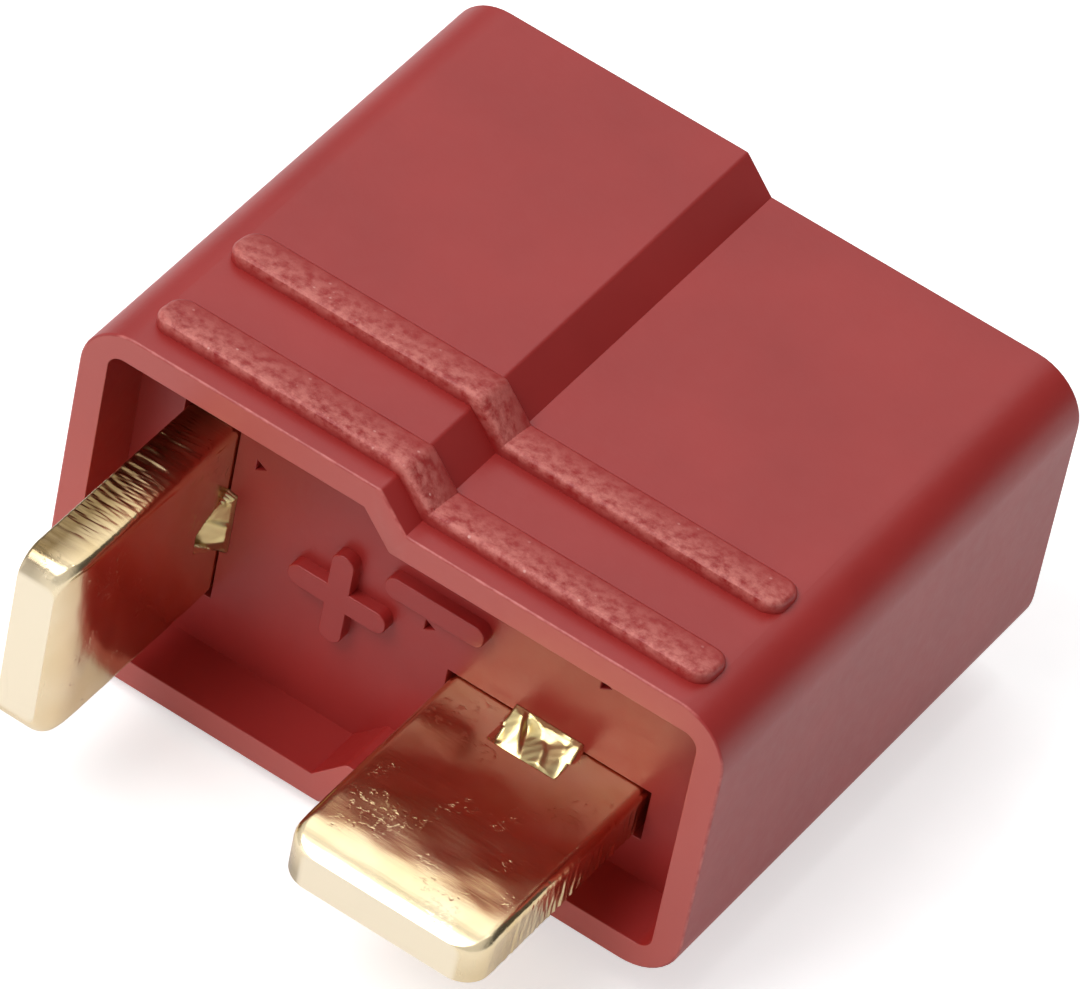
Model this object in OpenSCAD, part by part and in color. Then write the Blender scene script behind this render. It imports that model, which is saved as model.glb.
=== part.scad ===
// Two-pole flat-blade battery socket (the female half of a T-shaped lead connector).
// X runs across the housing, thick half at -X. Y runs along the mating direction:
// the solder tabs stick out at -Y, the plug enters from +Y. Z is up, ribs rest on Z = 0.

/* [Housing] */
// Width across both halves
body_w = 16; // [14:0.1:18]
// Length from the rim round the tabs to the mating face
body_len = 13.4; // [12:0.1:15]
// Height of the half that holds the upright contact
thick_h = 9.2; // [8.4:0.1:10.5]
// Height of the half that holds the flat contact
thin_h = 7.6; // [6.8:0.1:8.4]
// Width of the thick half, up to the top of the shoulder
thick_w = 7.3; // [6.8:0.1:8]
// Run of the slanted shoulder between the halves
shoulder_w = 0.75; // [0.4:0.05:1]
// Corner radius along the thick half
thick_r = 1.25; // [0.6:0.05:1.5]
// Corner radius along the thin half
thin_r = 1.3; // [0.6:0.05:1.6]

/* [Solder cup] */
// Wall of the rim round the cup
rim_wall = 0.68; // [0.5:0.05:0.9]
// Depth of the cup below the rim
cup_d = 1.5; // [1:0.1:2.4]
// Inside corner radius of the cup
cup_r = 0.35; // [0.2:0.05:0.6]
// Depth of the three small vent pits in the cup floor
pit_d = 0.25; // [0.1:0.05:0.4]
// Circle round each three-sided pit
pit_r = 0.16; // [0.1:0.02:0.25]

/* [Grip ribs] */
// Height of a grip rib above the face it stands on
rib_h = 0.35; // [0.2:0.05:0.6]
// Width of a grip rib along Y
rib_w = 1.1; // [0.7:0.1:1.5]
// Length of a grip rib along X
rib_len = 13.8; // [12:0.1:14.4]
// Plan radius at the ends of a rib
rib_end_r = 0.42; // [0.2:0.02:0.5]
// Distance from the rim to the first rib
rib_inset = 0.6; // [0.3:0.1:1.2]
// Pitch of the ribs
rib_pitch = 2.6; // [1.8:0.1:3.4]
// Number of ribs on each face
rib_count = 2; // [1:1:4]

/* [Polarity marks] */
// Length of each stroke of the plus and minus
mark_len = 2.45; // [1.6:0.05:2.8]
// Width of a stroke
mark_stroke = 0.55; // [0.3:0.05:0.7]
// Height of the marks above the cup floor
mark_h = 0.3; // [0.2:0.05:0.5]
// Plus sign, distance from the centre line towards the thick half
plus_x = 1.83; // [1.5:0.01:2]
// Minus sign, distance from the centre line towards the thin half
minus_x = 0.42; // [0.3:0.02:1.2]
// Minus sign, height of its stroke above the level stroke of the plus
minus_rise = 1.2; // [0.9:0.1:1.6]
// Drop of the plus below the housing's middle plane
plus_drop = 0.27; // [0:0.01:0.4]

/* [Contacts] */
// Width of a contact plate
blade_w = 4.85; // [4.2:0.05:5.1]
// Thickness of a contact plate
blade_t = 1.2; // [0.8:0.05:1.4]
// Length of the solder tab outside the rim
tab_out = 4.4; // [3.5:0.05:6.5]
// Plan radius at the tip corners of the tab
tip_r = 0.6; // [0.3:0.05:1.2]
// Radius rolled over the tip edge of the contact side
tip_roll_r = 0.5; // [0.2:0.05:0.7]
// Radius rolled along the sides of the contact side by the die
roll_r = 0.22; // [0.1:0.02:0.4]
// Edge break on the burr side
burr_r = 0.08; // [0.04:0.02:0.15]
// Set-back of the plate ends from the mating face
contact_inset = 0.9; // [0.5:0.1:1.5]
// Bevel at the inner end that guides the plug blade
end_bevel = 0.4; // [0.2:0.05:0.7]
// Contact face of the upright plate, distance from the left wall
pos_face_in = 3.12; // [2.8:0.02:3.5]
// Centre of the flat plate, distance from the right wall
neg_centre_in = 4.65; // [4.4:0.05:5]
// Drop of the middle plane of both contacts below the housing's
core_drop = 0.1; // [0:0.02:0.2]

/* [Stakes] */
// Width of the chisel stake that stops a plate at the cup floor
stake_w = 1.7; // [1:0.05:2.5]
// Length of the chisel cut in front of the floor
stake_len = 1; // [0.8:0.1:1.4]
// Depth of the chisel cut
stake_cut = 0.14; // [0.05:0.01:0.25]
// Height of the chip that the chisel raised
stake_h = 0.25; // [0.2:0.01:0.35]
// Sideways shift of the stake on the upright plate
pos_stake_shift = 0.2; // [0:0.1:1]
// Width left at the front of that stake, which was struck with a corner of the chisel
pos_stake_front = 0.5; // [0.2:0.1:1]

/* [Plug bays] */
// Thickness of the plug blade that slides on each plate
mate_t = 1.2; // [0.8:0.05:1.4]
// Clearance of the plates in their slots through the web
fit_clear = 0.03; // [0.01:0.01:0.06]
// Gap round a plate at the mouth of its slot
mouth_clear = 0.15; // [0.08:0.01:0.2]
// The same gap on the contact side, where the stake's chip overlaps it
mouth_face_gap = 0.21; // [0.1:0.01:0.22]
// Depth of the wider slot mouth
mouth_d = 0.6; // [0.3:0.1:1]
// Thickness of the web that grips the plates
web_t = 2; // [1.4:0.1:3]
// Clearance round the plug blade in its bay
bay_clear = 0.1; // [0.05:0.01:0.2]
// Lip above the plug blade that keeps the spring in
lip_gap = 0.25; // [0.15:0.05:0.4]
// Length of that lip at the mating face
lip_len = 1; // [0.6:0.1:1.5]
// Lead-in chamfer round each opening in the mating face
lead_in = 0.3; // [0.1:0.05:0.5]

/* [Springs] */
// Thickness of the spring strip
spring_t = 0.2; // [0.12:0.02:0.3]
// Width of the spring strip
spring_w = 3.8; // [2.8:0.1:4.4]
// Depth of the spring pocket above the lip
pocket_d = 0.65; // [0.4:0.05:0.9]
// Gap left between the bow of a spring and its plate
spring_gap = 0.75; // [0.4:0.05:1]
// Clearance of the spring in its pocket
spring_clear = 0.15; // [0.05:0.01:0.3]

/* [Hidden] */
$fn = 64;
cut = 0.5;
total_len = tab_out + body_len;
tip_y = -total_len / 2;
rim_y = tip_y + tab_out;
mate_y = total_len / 2;
floor_y = rim_y + cup_d;
web_y = floor_y + web_t;
mid_z = thick_h / 2 + rib_h;
core_z = mid_z - core_drop;
step_x = thick_w - body_w / 2;
slope = atan2((thick_h - thin_h) / 2, shoulder_w);
plate_end_y = mate_y - contact_inset;
pos_face_x = pos_face_in - body_w / 2;
neg_x = body_w / 2 - neg_centre_in;
lip_z = mate_t + lip_gap;
pocket_z = lip_z + pocket_d;
pocket_y = mate_y - lip_len;

// ---- the housing ----

// Stepped outline in X and Z, both halves level about the middle plane, drawn in by inset.
module stepped_outline(inset, r_thick, r_thin) {
    x_left = inset - body_w / 2;
    x_right = body_w / 2 - inset;
    z_thick = thick_h / 2 - inset;
    z_thin = thin_h / 2 - inset;
    x_top = step_x - inset * tan(slope / 2);
    x_foot = x_top + shoulder_w;
    polygon([
        [x_left, r_thick - z_thick],
        [x_left, z_thick - r_thick],
        [x_left + r_thick, z_thick],
        [x_top, z_thick],
        [x_foot, z_thin],
        [x_right - r_thin, z_thin],
        [x_right, z_thin - r_thin],
        [x_right, r_thin - z_thin],
        [x_right - r_thin, -z_thin],
        [x_foot, -z_thin],
        [x_top, -z_thick],
        [x_left + r_thick, -z_thick]
    ]);
    for (side = [-1, 1]) {
        translate([x_left + r_thick, side * (z_thick - r_thick)])
            circle(r = r_thick);
        translate([x_right - r_thin, side * (z_thin - r_thin)])
            circle(r = r_thin);
    }
}

// An X-Z outline drawn out along Y from y0 to y1.
module along_y(y0, y1) {
    translate([0, y1, mid_z])
        rotate([90, 0, 0])
            linear_extrude(y1 - y0)
                children();
}

// Rectangle centred on X with rounded corners, from y = 0 to y = wide.
module rounded_bar(long, wide, r) {
    translate([-long / 2 + r, 0])
        square([long - 2 * r, wide]);
    translate([-long / 2, r])
        square([long, wide - 2 * r]);
    for (sx = [-1, 1])
        for (y = [r, wide - r])
            translate([sx * (long / 2 - r), y])
                circle(r = r);
}

// Ribs stand the same height off both levels, so each crosses the shoulder on its slope.
module grip_ribs() {
    for (i = [0 : rib_count - 1])
        intersection() {
            along_y(rim_y, mate_y)
                stepped_outline(-rib_h, thick_r + rib_h, thin_r + rib_h);
            translate([0, rim_y + rib_inset + i * rib_pitch, 0])
                linear_extrude(2 * mid_z)
                    rounded_bar(rib_len, rib_w, rib_end_r);
        }
}

// One stroke of a polarity mark, lying along X and centred.
module mark_stroke_bar() {
    translate([0, -mark_stroke / 2])
        rounded_bar(mark_len, mark_stroke, mark_stroke * 0.45);
}

module polarity_marks() {
    along_y(floor_y - mark_h, floor_y + cut) {
        translate([-plus_x, -plus_drop]) {
            mark_stroke_bar();
            rotate(90)
                mark_stroke_bar();
        }
        translate([minus_x, minus_rise - plus_drop])
            mark_stroke_bar();
    }
}

// Three vent pits: one beside each slot and one between the marks.
module vent_pits() {
    pits = [
        [pos_face_x + 0.6, 1.65],
        [0.2, 0.15],
        [neg_x + 1, 1.4]
    ];
    for (p = pits)
        along_y(floor_y - cut, floor_y + pit_d)
            translate(p)
                circle(r = pit_r, $fn = 3);
}

// ---- the two bays, in a frame of their own ----
// Local X lies across the plate, Y along it, and Z = 0 is the face the plug blade slides on.

module at_negative() {
    translate([neg_x, 0, core_z - mate_t / 2])
        children();
}

module at_positive() {
    translate([pos_face_x, 0, core_z])
        rotate([0, 90, 0])
            children();
}

// Block centred on local X between two Y and two Z values.
module block(wide, y0, y1, z0, z1) {
    translate([-wide / 2, y0, z0])
        cube([wide, y1 - y0, z1 - z0]);
}

// Four-sided taper that opens each side of a slot by lead_in at the mating face.
module lead_in_taper(wide, z0, z1) {
    intersection() {
        translate([-wide, 0, 0])
            rotate([90, 0, 90])
                linear_extrude(2 * wide)
                    polygon([
                        [mate_y - lead_in, z0],
                        [mate_y + cut, z0 - lead_in - cut],
                        [mate_y + cut, z1 + lead_in + cut],
                        [mate_y - lead_in, z1]
                    ]);
        translate([0, 0, z0 - 2])
            linear_extrude(z1 - z0 + 4)
                polygon([
                    [-wide / 2, mate_y - lead_in],
                    [-wide / 2 - lead_in - cut, mate_y + cut],
                    [wide / 2 + lead_in + cut, mate_y + cut],
                    [wide / 2, mate_y - lead_in]
                ]);
    }
}

module bay_cut() {
    bay_w = blade_w + 2 * bay_clear;
    bay_z0 = -blade_t - fit_clear;
    block(blade_w + 2 * mouth_clear, floor_y - cut, floor_y + mouth_d,
        -blade_t - mouth_clear, mouth_face_gap);
    block(blade_w + 2 * fit_clear, floor_y, web_y + cut, bay_z0, fit_clear);
    block(bay_w, web_y, mate_y + cut, bay_z0, lip_z);
    block(bay_w, web_y, pocket_y, bay_z0, pocket_z);
    lead_in_taper(bay_w, bay_z0, lip_z);
}

module housing() {
    color([0.62, 0.2, 0.2]) {
        difference() {
            union() {
                along_y(rim_y, mate_y)
                    stepped_outline(0, thick_r, thin_r);
                grip_ribs();
            }
            along_y(rim_y - cut, floor_y)
                stepped_outline(rim_wall, cup_r, cup_r);
            at_negative()
                bay_cut();
            at_positive()
                bay_cut();
            vent_pits();
        }
        polarity_marks();
    }
}

// ---- the contact plates, one stamping used twice ----

// Section across the plate: rolled edges on the contact side, small breaks on the other.
module plate_section() {
    half = blade_w / 2;
    polygon([
        [-half, burr_r - blade_t],
        [-half, -roll_r],
        [roll_r - half, 0],
        [half - roll_r, 0],
        [half, -roll_r],
        [half, burr_r - blade_t],
        [half - burr_r, -blade_t],
        [burr_r - half, -blade_t]
    ]);
    for (sx = [-1, 1]) {
        translate([sx * (half - roll_r), -roll_r])
            circle(r = roll_r);
        translate([sx * (half - burr_r), burr_r - blade_t])
            circle(r = burr_r);
    }
}

// Plan of the plate: rounded corners at the tip of the tab, square inner end.
module plate_plan() {
    half = blade_w / 2;
    polygon([
        [-half, tip_y + tip_r],
        [tip_r - half, tip_y],
        [half - tip_r, tip_y],
        [half, tip_y + tip_r],
        [half, plate_end_y],
        [-half, plate_end_y]
    ]);
    for (sx = [-1, 1])
        translate([sx * (half - tip_r), tip_y + tip_r])
            circle(r = tip_r);
}

// The plate seen on its edge: rolled tip, bevel at the inner end.
module plate_profile() {
    polygon([
        [tip_y, -blade_t],
        [tip_y, -tip_roll_r],
        [tip_y + tip_roll_r, 0],
        [plate_end_y - end_bevel, 0],
        [plate_end_y, -end_bevel],
        [plate_end_y, -blade_t]
    ]);
    translate([tip_y + tip_roll_r, -tip_roll_r])
        circle(r = tip_roll_r);
}

// Profile of the stake: the cut falls off steeply and then ramps up to the chip at the floor.
module stake_profile(raised) {
    y_start = floor_y - stake_len;
    y_low = y_start + 0.1;
    y_zero = y_low + (floor_y - y_low) * stake_cut / (stake_cut + stake_h);
    if (raised)
        polygon([[y_zero, 0], [floor_y, stake_h], [floor_y, -0.1], [y_zero, -0.1]]);
    else
        polygon([[y_start, 0.01], [y_low, -stake_cut], [y_zero, 0.01]]);
}

// The stake's profile drawn across its width, kept inside a plan that narrows to front_w.
module stake_solid(raised, front_w) {
    intersection() {
        translate([-stake_w / 2, 0, 0])
            rotate([90, 0, 90])
                linear_extrude(stake_w)
                    stake_profile(raised);
        translate([0, 0, -cut])
            linear_extrude(2 * cut)
                polygon([
                    [-stake_w / 2, floor_y],
                    [-front_w / 2, floor_y - stake_len],
                    [front_w / 2, floor_y - stake_len],
                    [stake_w / 2, floor_y]
                ]);
    }
}

module contact_plate(stake_shift, stake_front) {
    difference() {
        intersection() {
            translate([0, plate_end_y, 0])
                rotate([90, 0, 0])
                    linear_extrude(plate_end_y - tip_y)
                        plate_section();
            translate([0, 0, -blade_t - cut])
                linear_extrude(blade_t + 2 * cut)
                    plate_plan();
            translate([-blade_w / 2 - cut, 0, 0])
                rotate([90, 0, 90])
                    linear_extrude(blade_w + 2 * cut)
                        plate_profile();
        }
        translate([stake_shift, 0, 0])
            stake_solid(false, stake_front);
    }
    translate([stake_shift, 0, 0])
        stake_solid(true, stake_front);
}

module positive_contact() {
    color([0.86, 0.68, 0.36])
        at_positive()
            contact_plate(pos_stake_shift, pos_stake_front);
}

module negative_contact() {
    color([0.86, 0.68, 0.36])
        at_negative()
            contact_plate(0, stake_w);
}

// ---- the springs ----

// Bowed strip: its ends bear on the pocket roof and its crest leans towards the plate.
module leaf_spring() {
    y0 = web_y + spring_clear;
    y1 = pocket_y - spring_clear;
    half = (y1 - y0) / 2;
    sag = pocket_z - spring_gap - spring_t;
    r_in = (sag * sag + half * half) / (2 * sag);
    r_out = r_in + spring_t;
    intersection() {
        block(spring_w, y0, y1, 0, pocket_z);
        translate([0, (y0 + y1) / 2, spring_gap + r_out])
            rotate([0, 90, 0])
                difference() {
                    cylinder(r = r_out, h = spring_w + cut, center = true);
                    cylinder(r = r_in, h = spring_w + 2 * cut, center = true);
                }
    }
}

module positive_spring() {
    color([0.72, 0.73, 0.75])
        at_positive()
            leaf_spring();
}

module negative_spring() {
    color([0.72, 0.73, 0.75])
        at_negative()
            leaf_spring();
}

housing();
positive_contact();
negative_contact();
positive_spring();
negative_spring();
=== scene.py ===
import math

import bmesh
import bpy
import numpy as np
from mathutils import Matrix, Vector


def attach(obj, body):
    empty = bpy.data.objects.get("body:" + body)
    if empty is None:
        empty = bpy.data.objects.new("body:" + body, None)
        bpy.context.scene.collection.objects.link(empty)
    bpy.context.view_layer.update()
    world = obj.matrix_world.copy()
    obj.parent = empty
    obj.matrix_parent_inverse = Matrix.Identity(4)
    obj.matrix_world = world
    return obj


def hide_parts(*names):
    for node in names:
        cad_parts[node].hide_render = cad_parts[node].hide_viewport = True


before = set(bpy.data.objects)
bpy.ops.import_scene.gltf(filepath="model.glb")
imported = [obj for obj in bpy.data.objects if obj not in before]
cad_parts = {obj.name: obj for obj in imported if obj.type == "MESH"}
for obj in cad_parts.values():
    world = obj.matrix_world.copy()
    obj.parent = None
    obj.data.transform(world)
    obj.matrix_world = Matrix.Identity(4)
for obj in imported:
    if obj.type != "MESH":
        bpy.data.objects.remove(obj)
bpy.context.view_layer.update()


# ---- Housing -------------------------------------------------------------------------------
# One stepped block of red glass-filled nylon, injection moulded, with grip ribs on its broad
# faces, a shallow cup at the solder end and two blade slots at the mating end. The CAD solid
# gives every face; here its edges get the small radii that the mould leaves.

# All in millimetres: the cup's rim, its floor and the parting plane at half height, the ribs'
# fronts, width and lean, and the radii of the edges.
RIM_Y, FLOOR_Y, MID_Z = -4.5, -3.0, 4.95
RIB_FRONTS_Y, RIB_W, RIB_LEAN_MM = (-3.9, -1.3), 1.1, 0.2
EDGE_BREAKS_MM = {
    "rib": 0.14, "mark": 0.03, "rim": 0.06, "lip": 0.025, "shell": 0.06, "pit": 0.01}
WIDEST_BREAK_MM = 0.19
# Cross cuts at the pits, the slots and the marks, so that no flat face keeps a hole in it.
CUTS_X_MM = (-5.43, -4.26, -2.56, -0.9, 0.19, 3.34, 4.37)
# The plates spread the slot mouths, so that little gap shows over their contact faces. For each
# mouth: the range of x and z that holds its corners, and the one that they are brought within.
MOUTH_END_Y = -2.35
MOUTHS_MM = (((0.7, 6.0, 2.8, 4.48), (0.84, 5.88, 2.8, 4.275)),
             ((-6.3, -4.66, 2.2, 7.5), (-6.3, -4.855, 2.34, 7.36)))
NYLON_RED = "#A52926"
NYLON_DEEP = "#9C2421"
NYLON_WORN = "#D3796F"
# the rim's colour below is painted light: the rim's face painted paler than the deck
NYLON_PAINTED_RIM_LIGHT = "#B9524B"


def linear(colour):
    """An sRGB hex colour as linear RGBA: each channel over 255, then the sRGB curve undone."""
    c = np.array([int(colour[i:i + 2], 16) / 255 for i in (1, 3, 5)])
    c = np.where(c <= 0.04045, c / 12.92, ((c + 0.055) / 1.055) ** 2.4)
    return (*c.tolist(), 1.0)


def add(material, kind, settings=None, **links):
    """Adds one shader node. settings are node properties or default values of its sockets,
    links are socket=output pairs. Spaces in socket names are written as underscores, and a
    socket that has a twin of the same name is given by its number, as _0 or _1."""
    tree = material.node_tree
    node = tree.nodes.new("ShaderNode" + kind)

    def socket(name):
        if name[0] == "_" and name[1:].isdigit():
            return node.inputs[int(name[1:])]
        return node.inputs[name.replace("_", " ")]

    for name, value in (settings or {}).items():
        if hasattr(node, name):
            setattr(node, name, value)
        else:
            socket(name).default_value = value
    for name, output in links.items():
        tree.links.new(output, socket(name))
    return node


def new_material(name):
    """An empty node material and its output node."""
    material = bpy.data.materials.new(name)
    material.use_nodes = True
    material.node_tree.nodes.clear()
    return material, add(material, "OutputMaterial")


def ramp(node, *stops):
    """Sets a colour ramp's two stops, each (position, hex colour)."""
    for point, (position, colour) in zip(node.color_ramp.elements, stops):
        point.position = position
        point.color = linear(colour)
    return node


def moulded_nylon():
    """Red nylon from a spark-eroded mould: a satin skin with very low, fine relief. The eye
    gets a soft sheen, paler where the skin turns away, and grainy, scuffed rib tops where
    fingers grip and the glass fibres show as pale specks. The rim's face is painted paler as
    painted light, and a painted highlight runs as a thin pale line round its outer edge."""
    material, out = new_material("moulded_red_nylon")
    place = add(material, "TexCoord").outputs["Object"]
    # colour flow of the melt, about 3 mm across, and a finer mottle of 0.35 mm
    flow = add(material, "TexNoise", {"Scale": 330.0, "Detail": 3.0}, Vector=place)
    mottle = add(material, "TexNoise", {"Scale": 2900.0, "Detail": 4.0, "Roughness": 0.6},
                 Vector=place)
    body = ramp(add(material, "ValToRGB", Fac=flow.outputs["Fac"]),
                (0.3, NYLON_DEEP), (0.7, NYLON_RED))
    # painted light: the face of the cup's rim is painted a little paler, as if lit more strongly
    # than the deck
    face = add(material, "Attribute", {"attribute_name": "rim_face_painted_light"}).outputs["Fac"]
    body = add(material, "MixRGB", {"Color2": linear(NYLON_PAINTED_RIM_LIGHT)},
               Fac=face, Color1=body.outputs[0])
    # worn rib tops, from the mesh attribute, broken up by a grain of 0.25 mm
    worn = add(material, "Attribute", {"attribute_name": "rib_top"}).outputs["Fac"]
    grit = add(material, "TexNoise", {"Scale": 4000.0, "Detail": 6.0, "Roughness": 0.65},
               Vector=place)
    patches = add(material, "MapRange", {"From Min": 0.36, "From Max": 0.6},
                  Value=grit.outputs["Fac"])
    worn_patch = add(material, "Math", {"operation": "MULTIPLY"},
                     _0=worn, _1=patches.outputs[0])
    worn_colour = add(material, "MixRGB", {"Color2": linear(NYLON_WORN)},
                      Fac=worn_patch.outputs[0], Color1=body.outputs[0])
    # glass specks: real fibre ends are 0.013 mm across, drawn 0.06 mm across so that they show
    fibre = add(material, "TexVoronoi", {"Scale": 5200.0, "feature": "F1"}, Vector=place)
    speck = add(material, "MapRange", {"From Min": 0.22, "From Max": 0.1},
                Value=fibre.outputs["Distance"])
    rare = add(material, "MapRange", {"From Min": 0.78, "From Max": 0.82},
               Value=fibre.outputs["Color"])
    speck = add(material, "Math", {"operation": "MULTIPLY"},
                _0=speck.outputs[0], _1=rare.outputs[0])
    speck = add(material, "Math", {"operation": "MULTIPLY"}, _0=speck.outputs[0], _1=worn)
    colour = add(material, "MixRGB", {"Color2": linear("#E8A9A0")},
                 Fac=speck.outputs[0], Color1=worn_colour.outputs[0])
    # painted highlight: a thin pale line, broken, runs round the rim's outer edge
    rim_highlight = add(material, "Attribute", {"attribute_name": "rim_painted_highlight"}).outputs["Fac"]
    breaks = add(material, "MapRange",
                 {"From Min": 0.4, "From Max": 0.62, "To Min": 0.2, "To Max": 0.6},
                 Value=mottle.outputs["Fac"])
    rim_highlight = add(material, "Math", {"operation": "MULTIPLY"}, _0=rim_highlight, _1=breaks.outputs[0])
    colour = add(material, "MixRGB", {"Color2": linear("#DD8078")},
                 Fac=rim_highlight.outputs[0], Color1=colour.outputs[0])
    # roughness: satin skin, duller on the worn tops
    skin = add(material, "MapRange", {"To Min": 0.36, "To Max": 0.46}, Value=mottle.outputs["Fac"])
    rough = add(material, "Math", {"operation": "MULTIPLY_ADD", "_1": 0.18},
                _0=worn_patch.outputs[0], _2=skin.outputs[0])
    # relief: eroded mould texture of 0.12 mm on the skin, coarser grain of 0.2 mm on the rib tops
    grain = add(material, "TexNoise", {"Scale": 8300.0, "Detail": 2.0}, Vector=place)
    skin_bump = add(material, "Bump", {"Strength": 0.12, "Distance": 2e-5},
                    Height=grain.outputs["Fac"])
    coarse = add(material, "TexNoise", {"Scale": 5200.0, "Detail": 5.0, "Roughness": 0.75},
                 Vector=place)
    height = add(material, "Math", {"operation": "MULTIPLY"}, _0=coarse.outputs["Fac"], _1=worn)
    bump = add(material, "Bump", {"Strength": 0.6, "Distance": 5e-5},
               Height=height.outputs[0], Normal=skin_bump.outputs[0])
    shader = add(material, "BsdfPrincipled", {"IOR": 1.53},
                 Base_Color=colour.outputs[0], Roughness=rough.outputs[0], Normal=bump.outputs[0])
    material.node_tree.links.new(shader.outputs[0], out.inputs[0])
    return material


def deck_height(x):
    """Height over the ground of the upper skin at x, both in mm: the thick half's deck, a
    straight shoulder, then the thin half's deck."""
    return np.interp(x, [-0.70, 0.05], [9.55, 8.75])


def above_deck(x, z):
    """How far a point stands out of the upper or the lower skin, in mm: its distance from the
    middle plane, less the skin's own, since the section is the same both ways."""
    return abs(z - MID_Z) + MID_Z - deck_height(x)


def edge_break(edge):
    """Radius in mm of a convex edge, from where it lies. At the rim, an edge whose wall faces
    away from the middle is the outer one, and one whose wall faces it is the cup's lip."""
    a, b = (v.co * 1e3 for v in edge.verts)
    m = (a + b) / 2
    if m.y < RIM_Y + 0.01:
        wall = min(edge.link_faces, key=lambda face: abs(face.normal.y)).normal
        outer = wall.x * m.x + wall.z * (m.z - MID_Z) > 0
        return EDGE_BREAKS_MM["rim" if outer else "lip"]
    in_cup = all(RIM_Y + 0.01 < end.y < FLOOR_Y + 0.01 for end in (a, b))
    if in_cup and abs(m.x) < 7.4 and 1.9 < m.z < 8.9:
        return EDGE_BREAKS_MM["mark"]
    if RIB_FRONTS_Y[0] - 0.1 < m.y < 0 and above_deck(m.x, m.z) > 0.1:
        return EDGE_BREAKS_MM["rib"]
    if FLOOR_Y - 0.01 < m.y < -2 and abs(m.x) < 7 and 2 < m.z < 8:
        # edges down in the slots stay sharp
        return EDGE_BREAKS_MM["pit"] if m.y < FLOOR_Y + 0.01 else 0
    return EDGE_BREAKS_MM["shell"]


def broken_edges(node):
    """A copy of a CAD node with its loose triangles joined, flat faces made whole and every
    convex edge of 30 degrees or more rounded by its own radius."""
    form = bmesh.new()
    form.from_mesh(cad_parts[node].data)
    bmesh.ops.remove_doubles(form, verts=form.verts, dist=1e-7)
    for cut in CUTS_X_MM:
        bmesh.ops.bisect_plane(form, geom=form.verts[:] + form.edges[:] + form.faces[:], dist=1e-8,
                               plane_co=(cut * 1e-3, 0, 0), plane_no=(1, 0, 0))
    for edge in form.edges:
        a, b = (v.co.x * 1e3 for v in edge.verts)
        edge.seam = any(abs(a - cut) < 1e-4 and abs(b - cut) < 1e-4 for cut in CUTS_X_MM)
    bmesh.ops.dissolve_limit(form, angle_limit=0.045, verts=form.verts, edges=form.edges,
                             delimit={"SEAM"})
    tops = []
    for face in form.faces:
        x, _, z = face.calc_center_median() * 1e3
        if face.normal.z * (1 if z > MID_Z else -1) > 0.95 and above_deck(x, z) > 0.3:
            tops.append(face)
    bmesh.ops.dissolve_limit(form, angle_limit=0.1, delimit={"SEAM"},
                             verts=list(dict.fromkeys(v for f in tops for v in f.verts)),
                             edges=list(dict.fromkeys(e for f in tops for e in f.edges)))
    for vertex in form.verts:
        x, y, z = vertex.co * 1e3
        if above_deck(x, z) > 0.3 and RIB_FRONTS_Y[0] - 0.1 < y < 0:
            # rib tops lean down towards the mating end, where the tool was drafted more
            front = RIB_FRONTS_Y[0 if y < -2 else 1]
            side = 1 if z > MID_Z else -1
            vertex.co.z -= side * RIB_LEAN_MM * 1e-3 * (y - front) / RIB_W
        for (x0, x1, z0, z1), (left, right, low, high) in MOUTHS_MM:
            if FLOOR_Y - 0.01 < y < MOUTH_END_Y and x0 < x < x1 and z0 < z < z1:
                vertex.co.x = min(max(x, left), right) * 1e-3
                vertex.co.z = min(max(z, low), high) * 1e-3
    weight = form.edges.layers.float.new("bevel_weight_edge")
    for edge in form.edges:
        if edge.is_manifold and edge.calc_face_angle_signed() > 0.5:
            edge[weight] = edge_break(edge) / WIDEST_BREAK_MM
    mesh = bpy.data.meshes.new(node + "_rounded")
    form.to_mesh(mesh)
    form.free()
    mesh.shade_smooth()
    piece = bpy.data.objects.new(node + "_moulding", mesh)
    bpy.context.scene.collection.objects.link(piece)
    bevel = piece.modifiers.new("edge_breaks", "BEVEL")
    bevel.width = WIDEST_BREAK_MM * 1e-3
    bevel.segments = 3
    bevel.limit_method = "WEIGHT"
    bevel.use_clamp_overlap = False
    bevel.miter_outer = "MITER_ARC"
    return piece


def settle(piece):
    """Bakes the piece's modifiers into its mesh."""
    baked = bpy.data.meshes.new_from_object(
        piece.evaluated_get(bpy.context.evaluated_depsgraph_get()))
    piece.modifiers.clear()
    piece.data = baked
    return piece


housing = settle(broken_edges("housing"))
# flat faces stay flat up to their rounded edges, and inner corners stay crisp
form = bmesh.new()
form.from_mesh(housing.data)
for edge in form.edges:
    edge.smooth = edge.calc_face_angle(3) < 0.6
form.to_mesh(housing.data)
form.free()
flats = housing.modifiers.new("flat_faces", "WEIGHTED_NORMAL")
flats.keep_sharp = True
flats.weight = 100
settle(housing)
points = np.empty(len(housing.data.vertices) * 3)
housing.data.vertices.foreach_get("co", points)
px, py, pz = points.reshape(-1, 3).T * 1e3
proud = above_deck(px, pz)
# where the colour differs: worn rib tops, fading to their rears, the rim's face with its painted
# light, and the painted highlight along its outer edge
on_rib = np.clip((proud - 0.12) / 0.12, 0, 1) * (py < 0) * (py > -4.2)
on_rib *= 1 - 0.75 * np.clip((py - np.where(py < -2, *RIB_FRONTS_Y)) / RIB_W, 0, 1)
on_rim = (py < RIM_Y + 0.005) * 1.0
outside = (proud > -0.12) | (np.abs(px) > 7.88)
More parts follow.
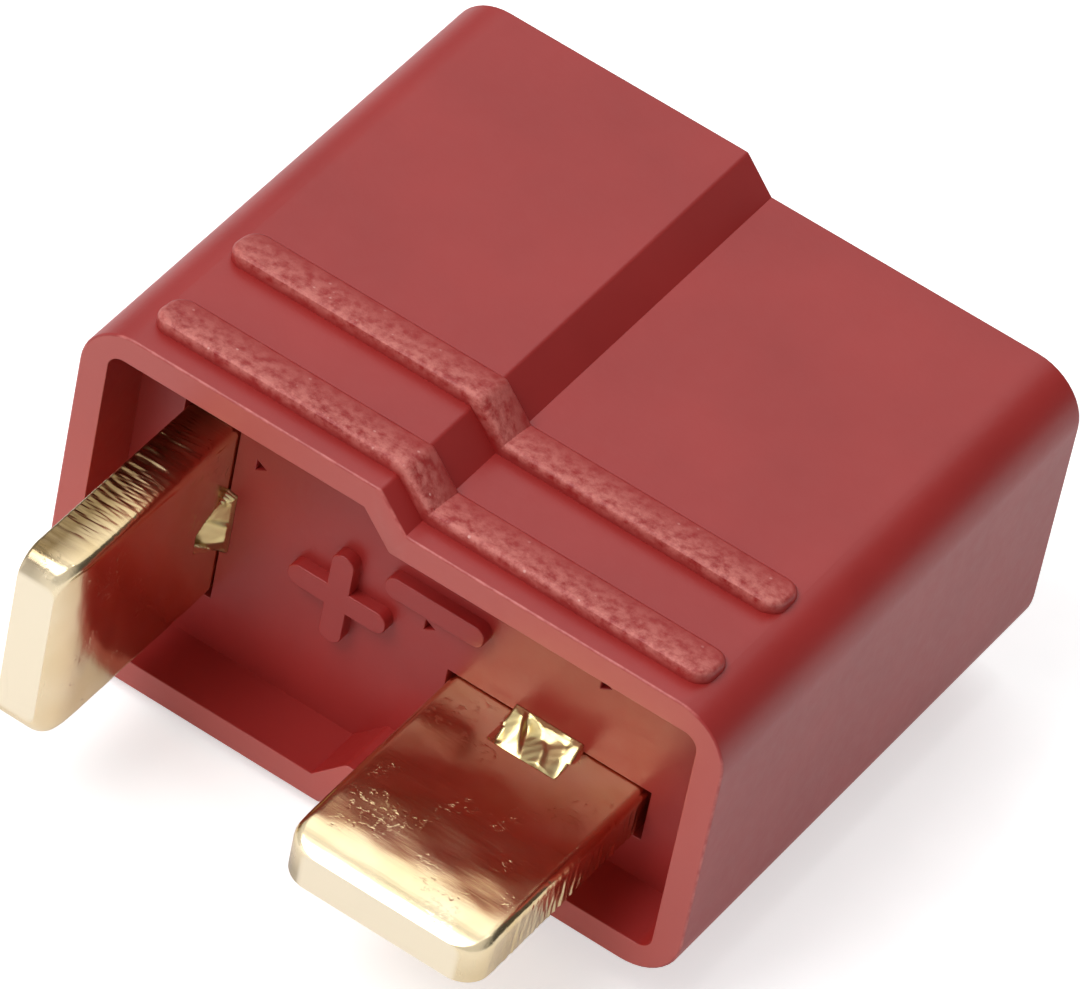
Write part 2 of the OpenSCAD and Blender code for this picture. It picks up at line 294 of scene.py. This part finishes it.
# painted highlight: a thin pale line along the rim's outer edge
on_rim_highlight = outside * (py > RIM_Y + 0.002) * (py < RIM_Y + 0.045)
for name, values in (("rib_top", on_rib), ("rim_face_painted_light", on_rim), ("rim_painted_highlight", on_rim_highlight)):
    layer = housing.data.attributes.new(name, "FLOAT", "POINT")
    layer.data.foreach_set("value", values.astype(np.float32))
housing.data.materials.clear()
housing.data.materials.append(moulded_nylon())
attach(housing, "root")
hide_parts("housing")


# ---- Contacts ------------------------------------------------------------------------------
# Two plates blanked from copper alloy strip and flash plated with gold, pressed through the
# housing's web. Their blanked sides are torn and ridged, the blanked tip is rolled over, and
# a chisel stake beside the cup floor keeps each from backing out.

# All in millimetres: the plate, its ends, the radii of its face's edges, its back's edges and
# the tip's corners, the far end's bevel, the tip's drop and crown, the stake, and how deep the
# torn ridges and the waves of the face are.
BLADE_W, BLADE_T = 4.85, 1.2
TIP_Y, END_Y = -8.9, 8.0
ROLL, BURR, TIP_PLAN, END_BEVEL = 0.22, 0.08, 0.6, 0.4
TIP_ROLL, TIP_DROP = 1.2, 0.27
CROWN, CROWN_LEN = 0.015, 2.0
STAKE_W, STAKE_LEN, STAKE_RISE = 1.7, 1.0, 0.24
TEAR, FACE_WAVE, TIP_WAVE = 0.0085, 0.004, 0.0012


def ripple(seed, count, u_pitch, v_pitch, u, v):
    """Smooth noise, mostly between -1 and 1: the sum of count sine waves over the root of
    count, each of random direction and phase, with wavelengths near u_pitch and v_pitch."""
    random = np.random.default_rng(seed)
    total = np.zeros(np.broadcast(u, v).shape)
    for _ in range(count):
        a, b = random.uniform(0.5, 1.6, 2) * random.choice([-1, 1], 2)
        phase = random.uniform(0, 2 * np.pi)
        total += np.sin(2 * np.pi * (a * u / u_pitch + b * v / v_pitch) + phase)
    return total / math.sqrt(count)


def facets(seed, count, size, tilt, u, v):
    """Crumpled metal: count random centres spread over size = (width, length), each with a
    small plane of its own tilt. A point takes the height of its nearest centre's plane, with a
    share of the others' that falls off as exp(-30 x how much farther they are, in mm)."""
    random = np.random.default_rng(seed)
    centre = random.uniform(-0.5, 0.5, (count, 2)) * size
    slope = random.normal(0, tilt, (count, 2))
    away_u = u[..., None] - centre[:, 0]
    away_v = v[..., None] - centre[:, 1]
    plane = away_u * slope[:, 0] + away_v * slope[:, 1]
    away = np.hypot(away_u, away_v)
    share = np.exp(-30 * (away - away.min(-1, keepdims=True)))
    return (plane * share).sum(-1) / share.sum(-1)


def grid_mesh(name, x, y, z, u, v):
    """A mesh from a grid of points in mm whose rows are closed loops: quads between neighbours,
    with each end row closed by one flat face. u and v go into a UV map in millimetres."""
    rows, columns = x.shape
    index = np.arange(rows * columns).reshape(rows, columns)
    after = np.roll(index, -1, axis=1)
    quads = np.stack([index[:-1], after[:-1], after[1:], index[1:]], -1).reshape(-1, 4)
    faces = quads.tolist() + [index[0][::-1].tolist(), index[-1].tolist()]
    mesh = bpy.data.meshes.new(name)
    mesh.from_pydata((np.stack([x, y, z], -1).reshape(-1, 3) * 1e-3).tolist(), [], faces)
    mesh.update()
    sheet = mesh.uv_layers.new(name="strip")
    corner = np.empty(len(mesh.loops), np.int32)
    mesh.loops.foreach_get("vertex_index", corner)
    flat = np.stack([np.broadcast_to(u, x.shape).ravel()[corner],
                     np.broadcast_to(v, x.shape).ravel()[corner]], -1)
    sheet.data.foreach_set("uv", flat.astype(np.float32).ravel())
    mesh.shade_smooth()
    mesh.polygons[-1].use_smooth = mesh.polygons[-2].use_smooth = False
    return mesh


def plate_section(top, side, back, arc):
    """The plate's section as a closed loop, with the number of points on its face, its sides,
    its back and each rounded edge. A row gives the side of the edge's centre that the point
    hangs on (-1 to 1 across, 0 to 1 down) and the point's offset from it in x and z, so that
    the half width can change along the plate while the radii stay. The loop runs along the
    contact face, down one side, along the back and up the other side."""
    t = np.linspace(0, 1, top, endpoint=False)
    turn = np.linspace(0, np.pi / 2, arc, endpoint=False)
    s = np.linspace(0, 1, side, endpoint=False)
    b = np.linspace(0, 1, back, endpoint=False)

    def leg(across, down, dx, dz):
        return np.stack(np.broadcast_arrays(across, down, dx, dz), -1)

    return np.concatenate([
        leg(1 - 2 * t, 0, 0, 0),
        leg(-1, 0, -ROLL * np.sin(turn), ROLL * (np.cos(turn) - 1)),
        leg(-1, s, -ROLL + s * (ROLL - BURR), -ROLL + s * (ROLL + BURR)),
        leg(-1, 1, -BURR * np.cos(turn), BURR * (1 - np.sin(turn))),
        leg(-1 + 2 * b, 1, 0, 0),
        leg(1, 1, BURR * np.sin(turn), BURR * (1 - np.cos(turn))),
        leg(1, 1 - s, BURR + s * (ROLL - BURR), BURR - s * (ROLL + BURR)),
        leg(1, 0, ROLL * np.cos(turn), ROLL * (np.sin(turn) - 1)),
    ])


def upright(x, y, z):
    """A plate's own axes turned into the frame for the thick half, where its face looks right."""
    return -4.88 + z, y, 4.85 - x


def level(x, y, z):
    """A plate's own axes moved into the frame for the thin half, where its face looks up."""
    return 3.35 + x, y, 4.25 + z


def contact_plate(name, seed, stake, to_frame):
    """A plate as sections carried along its length, in mm, with its face at z 0. Half width
    follows the rounded tip: with d the distance from the tip and r its corner radius,
    w = half - r + sqrt(r2 - (r - d)2). The face drops by a cube, drop (1 - d / roll)3, steeper
    and steeper to the sharp edge of the blanked end, and by a slight parabola behind it. Torn
    ridges push the sides in, waves lift the face, and the stake is a height added to it: a
    nick, then a crumpled ramp up to the cup floor. stake holds its shift to one side, its width
    in front, the nick's depth and the tilt of its facets."""
    shift, front_w, nick, tilt = stake
    half = BLADE_W / 2
    turn = np.linspace(0, np.pi / 2, 14)
    y = np.unique(np.round(np.concatenate([
        TIP_Y + TIP_PLAN * (1 - np.cos(turn)), TIP_Y + TIP_ROLL * np.linspace(0, 1, 16),
        np.linspace(TIP_Y + TIP_ROLL, FLOOR_Y - 1.2, 120),
        np.linspace(FLOOR_Y - 1.2, FLOOR_Y - 0.004, 60),
        [FLOOR_Y + 0.001, FLOOR_Y + 0.02, FLOOR_Y + 0.3],
        np.linspace(FLOOR_Y + 1, END_Y - END_BEVEL, 14), [END_Y]]), 5))[:, None]
    across, down, dx, dz = plate_section(top=96, side=22, back=12, arc=7).T
    d = y - TIP_Y
    corner = TIP_PLAN ** 2 - np.clip(TIP_PLAN - d, 0, None) ** 2
    w = half - TIP_PLAN + np.sqrt(np.clip(corner, 0, None))
    drop = TIP_DROP * np.clip(1 - d / TIP_ROLL, 0, None) ** 3
    drop = np.maximum(drop, np.clip(y - (END_Y - END_BEVEL), 0, None))
    x = across * (w - ROLL - (BURR - ROLL) * down) + dx
    z = -drop * (1 - down) - BLADE_T * down + dz
    # outside the web the surfaces are free to be rough; inside it they stay true
    free = np.clip((FLOOR_Y - 0.05 - y) / 0.3, 0, 1)
    blanked = np.clip((np.abs(x) - w) / (ROLL * 0.35) + 1, 0, 1) * (down + 0.3).clip(0, 1)
    ridges = ripple(seed, 9, 8.0, 0.3, z, y) + 0.6 * ripple(seed + 1, 9, 0.9, 0.15, z, y)
    begun = np.clip((d - 0.35) / 0.3, 0, 1)
    x = x - np.sign(across) * blanked * free * begun * TEAR * (1 + ridges)
    facing = (down < 0.01) & (np.abs(dx) < ROLL * 0.9)
    z = z + facing * free * np.clip(d / 0.8, 0, 1) * FACE_WAVE * ripple(seed + 2, 6, 2.6, 1.4, x, y)
    near_tip = np.clip(1 - np.abs(d - 0.9) / 0.9, 0, 1)
    z = z + facing * near_tip * TIP_WAVE * ripple(seed + 3, 8, 1.1, 0.5, x, y)
    z = z - (1 - down) * CROWN * np.clip(1 - d / CROWN_LEN, 0, 1) ** 2
    # stake: reach runs from 0 at its front to 1 at the cup floor
    reach = (y - (FLOOR_Y - STAKE_LEN)) / STAKE_LEN
    width = front_w + (STAKE_W - front_w) * np.clip(reach, 0, 1)
    inside = (reach > 0) & (y < FLOOR_Y) & (np.abs(x - shift) < width / 2) & (down < 0.01)
    crumple = facets(seed + 5, 7, (STAKE_W, STAKE_LEN), tilt, x - shift,
                     y + 0 * x - (FLOOR_Y - STAKE_LEN / 2))
    crumple += 0.002 * ripple(seed + 6, 6, 0.3, 0.25, x, y)
    crumple *= np.clip(reach * 5, 0, 1) * np.clip((1 - reach) * 6, 0, 1)
    climb = np.interp(reach, [0, 0.08, 0.9, 1], [0, -nick, STAKE_RISE * 0.85, STAKE_RISE])
    z = z + inside * np.minimum(climb + crumple, STAKE_RISE)
    u = np.cumsum(np.r_[0, np.hypot(np.diff(x[60]), np.diff(z[60]))])[None, :]
    mesh = grid_mesh(name, *to_frame(x, y + 0 * x, z), u + 0 * x, y + 0 * x)
    # the torn sides are stained; the one at negative x, upper on the upright plate, is darkened far
    # more, partly stain and partly painted shade
    stain_and_shade = blanked * np.where(x < 0, 1, 0.3)
    # the blanked end is matt and painted pale as a painted reflection, and so, more faintly, is the
    # last millimetre behind it
    tip = np.maximum(np.clip(1 - d / 0.03, 0, 1),
                     0.4 * np.clip(1.1 - d, 0, 1) * (1 - stain_and_shade * np.clip(d / 0.4, 0, 1)))
    for mark, values in (("blanked_end", tip), ("blanked_side", stain_and_shade), ("staked", inside)):
        layer = mesh.attributes.new(mark, "FLOAT", "POINT")
        layer.data.foreach_set("value", (values + 0 * x).astype(np.float32).ravel())
    piece = bpy.data.objects.new(name, mesh)
    bpy.context.scene.collection.objects.link(piece)
    return piece


def gold_plate():
    """Flash gold over bright nickel on stamped copper alloy: a mirror softened by the strip's
    rolling lines, scuffed in patches where the tab was handled, with a satin end that is
    painted paler as a painted reflection."""
    material, out = new_material("stamped_gold_plating")
    strip = add(material, "UVMap", {"uv_map": "strip"}).outputs[0]
    # rolling lines: 0.03 mm apart and 1.4 mm long, drawn 0.12 mm apart so that they show
    lines = add(material, "Mapping", {"Scale": (0.7, 8.0, 1.0)}, Vector=strip)
    rolled = add(material, "TexNoise", {"Scale": 1.0, "Detail": 5.0, "Roughness": 0.7},
                 Vector=lines.outputs[0])
    # plating tone, in clouds of 1.4 mm
    cloud = add(material, "TexNoise", {"Scale": 0.7, "Detail": 3.0}, Vector=strip)
    tone = ramp(add(material, "ValToRGB", Fac=cloud.outputs["Fac"]),
                (0.3, "#E6CB96"), (0.75, "#F1DDB6"))
    end = add(material, "Attribute", {"attribute_name": "blanked_end"}).outputs["Fac"]
    torn = add(material, "Attribute", {"attribute_name": "blanked_side"}).outputs["Fac"]
    # the plating is thin and stained on the torn sides, so they look olive; where the olive is
    # darkest it is partly painted shade
    torn_stain_and_shade = add(material, "MapRange",
                {"From Min": 0.3, "From Max": 0.7, "To Min": 0.85, "To Max": 1.0},
                Value=rolled.outputs["Fac"])
    torn_stain_and_shade = add(material, "Math", {"operation": "MULTIPLY"}, _0=torn, _1=torn_stain_and_shade.outputs[0])
    tarnish_and_shade = add(material, "MixRGB", {"Color2": linear("#6C5736")},
               Fac=torn_stain_and_shade.outputs[0], Color1=tone.outputs[0])
    # the chisel's bite has burnished the stakes' facets unevenly and left them duller
    staked = add(material, "Attribute", {"attribute_name": "staked"}).outputs["Fac"]
    bitten = add(material, "Math", {"operation": "MULTIPLY", "_1": 0.7}, _0=staked)
    tarnish_and_shade = add(material, "MixRGB", {"Color2": linear("#BFAE74")},
               Fac=bitten.outputs[0], Color1=tarnish_and_shade.outputs[0])
    # painted reflection: the blanked end and, faintly, the tip behind it are mixed towards pale
    # cream
    colour = add(material, "MixRGB", {"Color2": linear("#F3E6CD")},
                 Fac=end, Color1=tarnish_and_shade.outputs[0])
    # scuffs: pits of 0.14 mm in patches of 1.1 mm
    pits = add(material, "TexNoise", {"Scale": 7.0, "Detail": 3.0, "Roughness": 0.6},
               Vector=strip)
    patch = add(material, "TexNoise", {"Scale": 0.9, "Detail": 2.0}, Vector=strip)
    where = add(material, "MapRange", {"From Min": 0.5, "From Max": 0.64},
                Value=patch.outputs["Fac"])
    scuff = add(material, "MapRange", {"From Min": 0.56, "From Max": 0.72},
                Value=pits.outputs["Fac"])
    scuff = add(material, "Math", {"operation": "MULTIPLY"},
                _0=scuff.outputs[0], _1=where.outputs[0])
    # roughness: a near mirror, duller on the end, the stakes and, a little, the torn sides
    rough = add(material, "MapRange", {"To Min": 0.13, "To Max": 0.24},
                Value=rolled.outputs["Fac"])
    for where_dull, more in ((end, 0.2), (torn, 0.04), (staked, 0.12)):
        rough = add(material, "Math", {"operation": "MULTIPLY_ADD", "_1": more},
                    _0=where_dull, _2=rough.outputs[0])
    low = add(material, "Bump", {"Strength": 0.25, "Distance": 1e-5},
              Height=rolled.outputs["Fac"])
    relief = add(material, "Bump", {"Strength": 0.4, "Distance": 2e-5},
                 Height=scuff.outputs[0], Normal=low.outputs[0])
    shader = add(material, "BsdfPrincipled", {"Metallic": 1.0}, Base_Color=colour.outputs[0],
                 Roughness=rough.outputs[0], Normal=relief.outputs[0])
    material.node_tree.links.new(shader.outputs[0], out.inputs[0])
    return material


gold = gold_plate()
for name, node, seed, stake, to_frame in (
    ("positive_plate", "positive_contact", 11, (0.2, 0.5, 0.5, 0.3), upright),
    ("negative_plate", "negative_contact", 34, (0.0, 1.6, 0.3, 0.2), level),
):
    piece = contact_plate(name, seed, stake, to_frame)
    piece.data.materials.append(gold)
    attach(piece, "root")
    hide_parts(node)


# ---- Contact springs -----------------------------------------------------------------------
# One bowed strip of bare stainless spring steel in each blade bay, sprung against the pocket's
# roof so that its crest bears on the plug's blade. Bright, with rolling lines along its length.

# All in millimetres: the strip and its edge radius, its free gap to the plate, the pocket's
# roof over the plate, and the pocket's ends.
SPRING_T, SPRING_W, SPRING_EDGE = 0.2, 3.8, 0.09
SPRING_GAP, POCKET_Z = 0.75, 2.1
SPRING_Y = (-0.85, 7.75)


def leaf_spring(name, to_frame):
    """A rounded strip section carried along a circle's arc: the chord is the bay's length, less
    a little play, and the crest dips from the pocket's roof towards the plate by the sagitta,
    so radius = (sag2 + half2) / (2 sag)."""
    half = (SPRING_Y[1] - SPRING_Y[0]) / 2
    sag = POCKET_Z - SPRING_GAP - SPRING_T
    radius = (sag ** 2 + half ** 2) / (2 * sag)
    reach = math.asin(half / radius) * 0.985
    angle = np.linspace(-reach, reach, 60)[:, None]
    turn = np.linspace(0, 2 * np.pi, 32, endpoint=False)[None, :]
    corner_x = np.sign(np.cos(turn)) * (SPRING_W / 2 - SPRING_EDGE)
    corner_z = np.sign(np.sin(turn)) * (SPRING_T / 2 - SPRING_EDGE)
    x = corner_x + SPRING_EDGE * np.cos(turn) + 0 * angle
    lift = corner_z + SPRING_EDGE * np.sin(turn)
    r = radius + SPRING_T / 2 - lift
    y = (SPRING_Y[0] + SPRING_Y[1]) / 2 + r * np.sin(angle)
    z = SPRING_GAP + SPRING_T + radius - r * np.cos(angle)
    u = np.cumsum(np.r_[0, np.hypot(np.diff(x[0]), np.diff(lift[0]))])[None, :]
    mesh = grid_mesh(name, *to_frame(x, y, z), u + 0 * x, radius * angle + 0 * x)
    piece = bpy.data.objects.new(name, mesh)
    bpy.context.scene.collection.objects.link(piece)
    return piece


def spring_strip():
    """Cold rolled stainless strip, slit to width: bright, with fine lines along its length
    that break up its gloss."""
    material, out = new_material("rolled_spring_steel")
    strip = add(material, "UVMap", {"uv_map": "strip"}).outputs[0]
    # rolling lines: 0.02 mm apart, drawn 0.08 mm apart so that they show, and 2.5 mm long
    lines = add(material, "Mapping", {"Scale": (12.0, 0.4, 1.0)}, Vector=strip)
    rolled = add(material, "TexNoise", {"Scale": 1.0, "Detail": 4.0}, Vector=lines.outputs[0])
    tone = ramp(add(material, "ValToRGB", Fac=rolled.outputs["Fac"]),
                (0.3, "#A9ABAF"), (0.7, "#C9CBCE"))
    rough = add(material, "MapRange", {"To Min": 0.2, "To Max": 0.38},
                Value=rolled.outputs["Fac"])
    bump = add(material, "Bump", {"Strength": 0.3, "Distance": 1e-5},
               Height=rolled.outputs["Fac"])
    shader = add(material, "BsdfPrincipled", {"Metallic": 1.0}, Base_Color=tone.outputs[0],
                 Roughness=rough.outputs[0], Normal=bump.outputs[0])
    material.node_tree.links.new(shader.outputs[0], out.inputs[0])
    return material


steel = spring_strip()
for name, node, to_frame in (
    ("positive_leaf", "positive_spring", upright),
    ("negative_leaf", "negative_spring", level),
):
    leaf = leaf_spring(name, to_frame)
    leaf.data.materials.append(steel)
    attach(leaf, "root")
    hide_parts(node)


# ---- Studio --------------------------------------------------------------------------------
# A white sweep of matt paper under the connector, a broad key lamp above and to the left in
# front, weaker lamps low in front, behind and overhead, and a white room.

def paper_floor():
    """Matt white paper: flat white with a faint mottle of 1 mm. Seen directly it also glows a
    little, so that it stays white and still takes the shadow, and less so in a mirror."""
    material, out = new_material("white_paper_sweep")
    place = add(material, "TexCoord").outputs["Object"]
    fibre = add(material, "TexNoise", {"Scale": 900.0, "Detail": 3.0}, Vector=place)
    tone = ramp(add(material, "ValToRGB", Fac=fibre.outputs["Fac"]),
                (0.3, "#EDEDED"), (0.7, "#F2F2F2"))
    matt = add(material, "BsdfDiffuse", Color=tone.outputs[0])
    seen = add(material, "LightPath")
    mirrored = add(material, "Math", {"operation": "MAXIMUM"}, _0=seen.outputs["Is Glossy Ray"],
                   _1=seen.outputs["Is Transmission Ray"])
    straight = add(material, "Math", {"operation": "MULTIPLY", "_1": 0.55},
                   _0=seen.outputs["Is Camera Ray"])
    glow = add(material, "Math", {"operation": "MULTIPLY_ADD", "_1": 0.24},
               _0=mirrored.outputs[0], _2=straight.outputs[0])
    light = add(material, "Emission", Strength=glow.outputs[0])
    both = add(material, "AddShader", _0=matt.outputs[0], _1=light.outputs[0])
    material.node_tree.links.new(both.outputs[0], out.inputs[0])
    return material


# the sweep reaches 0.9 m each way and lies just under the housing's ribs
grid = np.linspace(-0.9, 0.9, 25)
fx, fy = np.meshgrid(grid, grid)
fz = np.full(fx.shape, -2e-5)
index = np.arange(fx.size).reshape(fx.shape)
floor_faces = np.stack([index[:-1, :-1], index[:-1, 1:], index[1:, 1:], index[1:, :-1]], -1)
floor_mesh = bpy.data.meshes.new("paper_sweep")
floor_mesh.from_pydata(np.stack([fx, fy, fz], -1).reshape(-1, 3).tolist(), [],
                       floor_faces.reshape(-1, 4).tolist())
floor_mesh.materials.append(paper_floor())
floor = bpy.data.objects.new("paper_sweep", floor_mesh)
bpy.context.scene.collection.objects.link(floor)


def lamp(name, place, size, power):
    """A square area lamp at a place in metres, turned to face the connector."""
    data = bpy.data.lights.new(name, "AREA")
    data.size, data.energy = size, power
    light = bpy.data.objects.new(name, data)
    light.location = place
    aim = Vector((0, 0, 0.005)) - Vector(place)
    light.rotation_euler = aim.to_track_quat("-Z", "Y").to_euler()
    bpy.context.scene.collection.objects.link(light)


lamp("key_lamp", (-0.20, -0.30, 0.54), 0.34, 2.3)
lamp("front_lamp", (-0.34, -0.45, 0.10), 0.30, 0.3)
lamp("back_lamp", (-0.15, 0.38, 0.56), 0.60, 1.25)
lamp("top_lamp", (0.04, 0.08, 0.68), 0.07, 0.2)

world = bpy.data.worlds.new("white_room")
world.use_nodes = True
world.node_tree.nodes.clear()
room_out = add(world, "OutputWorld")
path = add(world, "LightPath")
clear = add(world, "Math", {"operation": "MAXIMUM"}, _0=path.outputs["Is Camera Ray"],
            _1=path.outputs["Is Transmission Ray"])
# a mirror sees white walls in front and at the left, and a grey one behind at the right
way = add(world, "TexCoord").outputs["Generated"]
grey = add(world, "VectorMath", {"operation": "DOT_PRODUCT", "_1": (0.5, 0.85, -0.15)}, _0=way)
wall = add(world, "MapRange",
           {"From Min": -0.2, "From Max": 0.6, "To Min": 0.88, "To Max": 0.1},
           Value=grey.outputs["Value"])
mirrored = add(world, "Math", {"operation": "MULTIPLY"},
               _0=path.outputs["Is Glossy Ray"], _1=wall.outputs[0])
seen = add(world, "Math", {"operation": "MAXIMUM"}, _0=clear.outputs[0], _1=mirrored.outputs[0])
# all other rays bring the room's fill light
special = add(world, "Math", {"operation": "MAXIMUM"},
              _0=clear.outputs[0], _1=path.outputs["Is Glossy Ray"])
plain = add(world, "Math", {"operation": "SUBTRACT", "_0": 1.0}, _1=special.outputs[0])
strength = add(world, "Math", {"operation": "MULTIPLY_ADD", "_1": 0.38},
               _0=plain.outputs[0], _2=seen.outputs[0])
room = add(world, "Background", Strength=strength.outputs[0])
world.node_tree.links.new(room.outputs[0], room_out.inputs[0])
bpy.context.scene.world = world
bpy.context.scene.view_settings.view_transform = "Standard"

# a long lens from above, in front and a little to the right, rolled by 12 degrees
camera_data = bpy.data.cameras.new("camera")
camera_data.lens, camera_data.sensor_width = 363.77, 36.0
camera = bpy.data.objects.new("camera", camera_data)
camera.location = (0.069787, -0.142129, 0.162375)
look = Vector((-0.31217, 0.64111, -0.70109)).normalized()
roll = Matrix.Rotation(math.radians(12.1316), 3, "Z")
camera.rotation_mode = "QUATERNION"
camera.rotation_quaternion = (look.to_track_quat("-Z", "Y").to_matrix() @ roll).to_quaternion()
bpy.context.scene.collection.objects.link(camera)
bpy.context.scene.camera = camera
